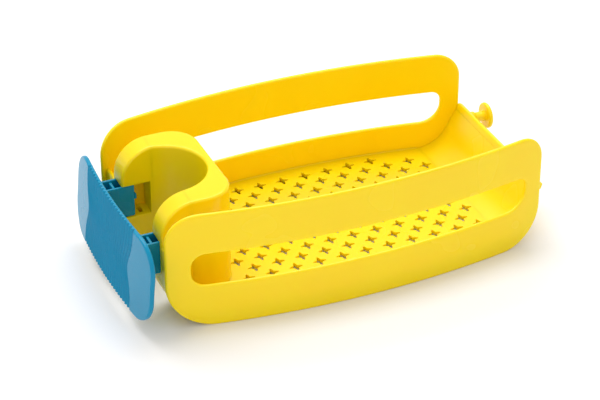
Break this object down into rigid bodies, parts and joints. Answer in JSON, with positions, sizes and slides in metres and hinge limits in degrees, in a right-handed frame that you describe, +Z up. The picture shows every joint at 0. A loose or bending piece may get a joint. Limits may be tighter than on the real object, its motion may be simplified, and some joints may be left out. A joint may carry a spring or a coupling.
{
  "type": "tap caddy",
  "caption": "Perforated sink caddy that hangs on a tap column by a U-shaped collar, closed by a push-in clip, with side panels and rear pegs.",
  "frame": {"origin": "centre of the footprint, on the surface that the side panels stand on", "axes": "+X along the length, from the clip end to the peg end; +Y across, to the left panel; +Z up"},
  "size_m": [0.2526, 0.128, 0.0695],
  "materials": {
    "basket_plastic": "smooth moulded polypropylene, satin gloss",
    "clip_plastic": "smooth moulded polypropylene, satin gloss"
  },
  "bodies": {
    "basket": {"side_panel_left": "basket_plastic", "side_panel_right": "basket_plastic", "drain_floor": "basket_plastic", "rear_wall": "basket_plastic", "rear_rim": "basket_plastic", "collar_back": "basket_plastic", "collar_arm_left": "basket_plastic", "collar_arm_right": "basket_plastic", "front_wall_left": "basket_plastic", "front_wall_right": "basket_plastic", "front_floor_left": "basket_plastic", "front_floor_right": "basket_plastic", "rear_peg_left": "basket_plastic", "rear_peg_right": "basket_plastic"},
    "clip": {"grip_plate": "clip_plastic", "clip_prong_left": "clip_plastic", "clip_prong_right": "clip_plastic", "clip_rib_left": "clip_plastic", "clip_rib_right": "clip_plastic", "clip_nub_left": "clip_plastic", "clip_nub_right": "clip_plastic"}
  },
  "joints": [
    {"name": "clip_slide", "type": "slide", "parent": "basket", "child": "clip", "axis": [1, 0, 0], "range_m": [-0.0065, 0.005]}
  ]
}
